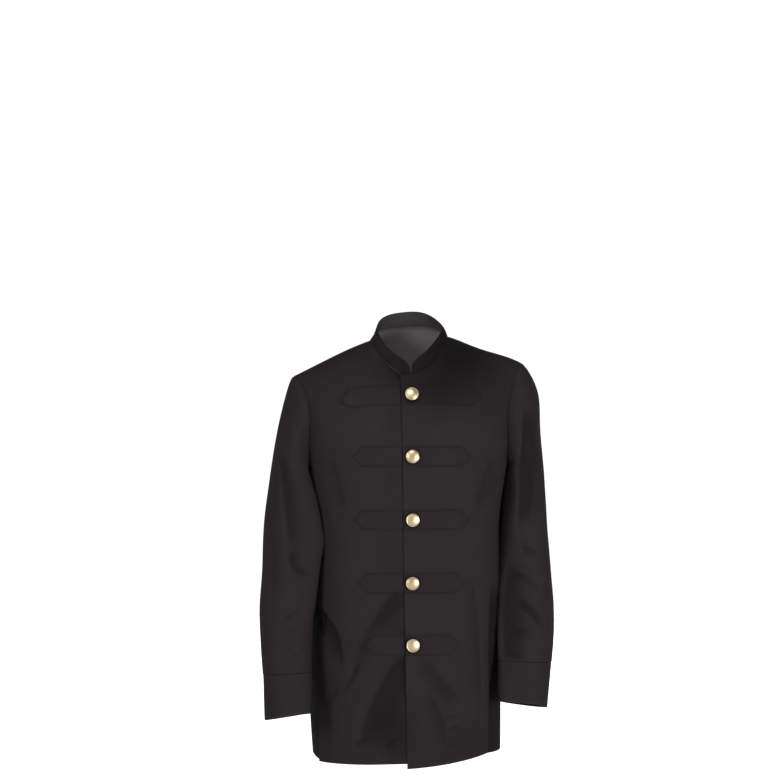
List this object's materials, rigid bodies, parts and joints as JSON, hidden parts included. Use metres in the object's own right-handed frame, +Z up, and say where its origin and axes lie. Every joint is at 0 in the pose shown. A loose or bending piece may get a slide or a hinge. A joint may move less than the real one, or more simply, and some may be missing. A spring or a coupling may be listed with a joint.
{
  "type": "head waiter jacket",
  "caption": "Hip-length black jacket with a stand collar, brass buttons down the front, pointed cloth tabs beside each button, set-in sleeves with sewn-on cuffs and side vents.",
  "frame": {"origin": "middle of the neck, level with the points where the shoulder seams meet the collar, where the wearer's neck and shoulders hold the jacket", "axes": "+Z up, -Y to the front, +X to the wearer's left"},
  "size_m": [0.5697, 0.2636, 0.866],
  "materials": {
    "black_twill": "matt black wool-blend twill",
    "black_tab_cloth": "the same black twill, pressed flat and edge-stitched",
    "grey_facing": "dull dark grey woven facing",
    "pale_brass": "pale satin brass"
  },
  "bodies": {
    "root": {"back": "black_twill", "front_left": "black_twill", "front_right": "black_twill", "sleeve_left": "black_twill", "sleeve_right": "black_twill", "cuff_left": "black_twill", "cuff_right": "black_twill", "collar": "black_twill", "collar_facing": "grey_facing", "back_neck_facing": "grey_facing", "tab_left_1": "black_tab_cloth", "tab_left_2": "black_tab_cloth", "tab_left_3": "black_tab_cloth", "tab_left_4": "black_tab_cloth", "tab_left_5": "black_tab_cloth", "tab_right_1": "black_tab_cloth", "tab_right_2": "black_tab_cloth", "tab_right_3": "black_tab_cloth", "tab_right_4": "black_tab_cloth", "tab_right_5": "black_tab_cloth", "button_1": "pale_brass", "button_2": "pale_brass", "button_3": "pale_brass", "button_4": "pale_brass", "button_5": "pale_brass"}
  },
  "joints": []
}
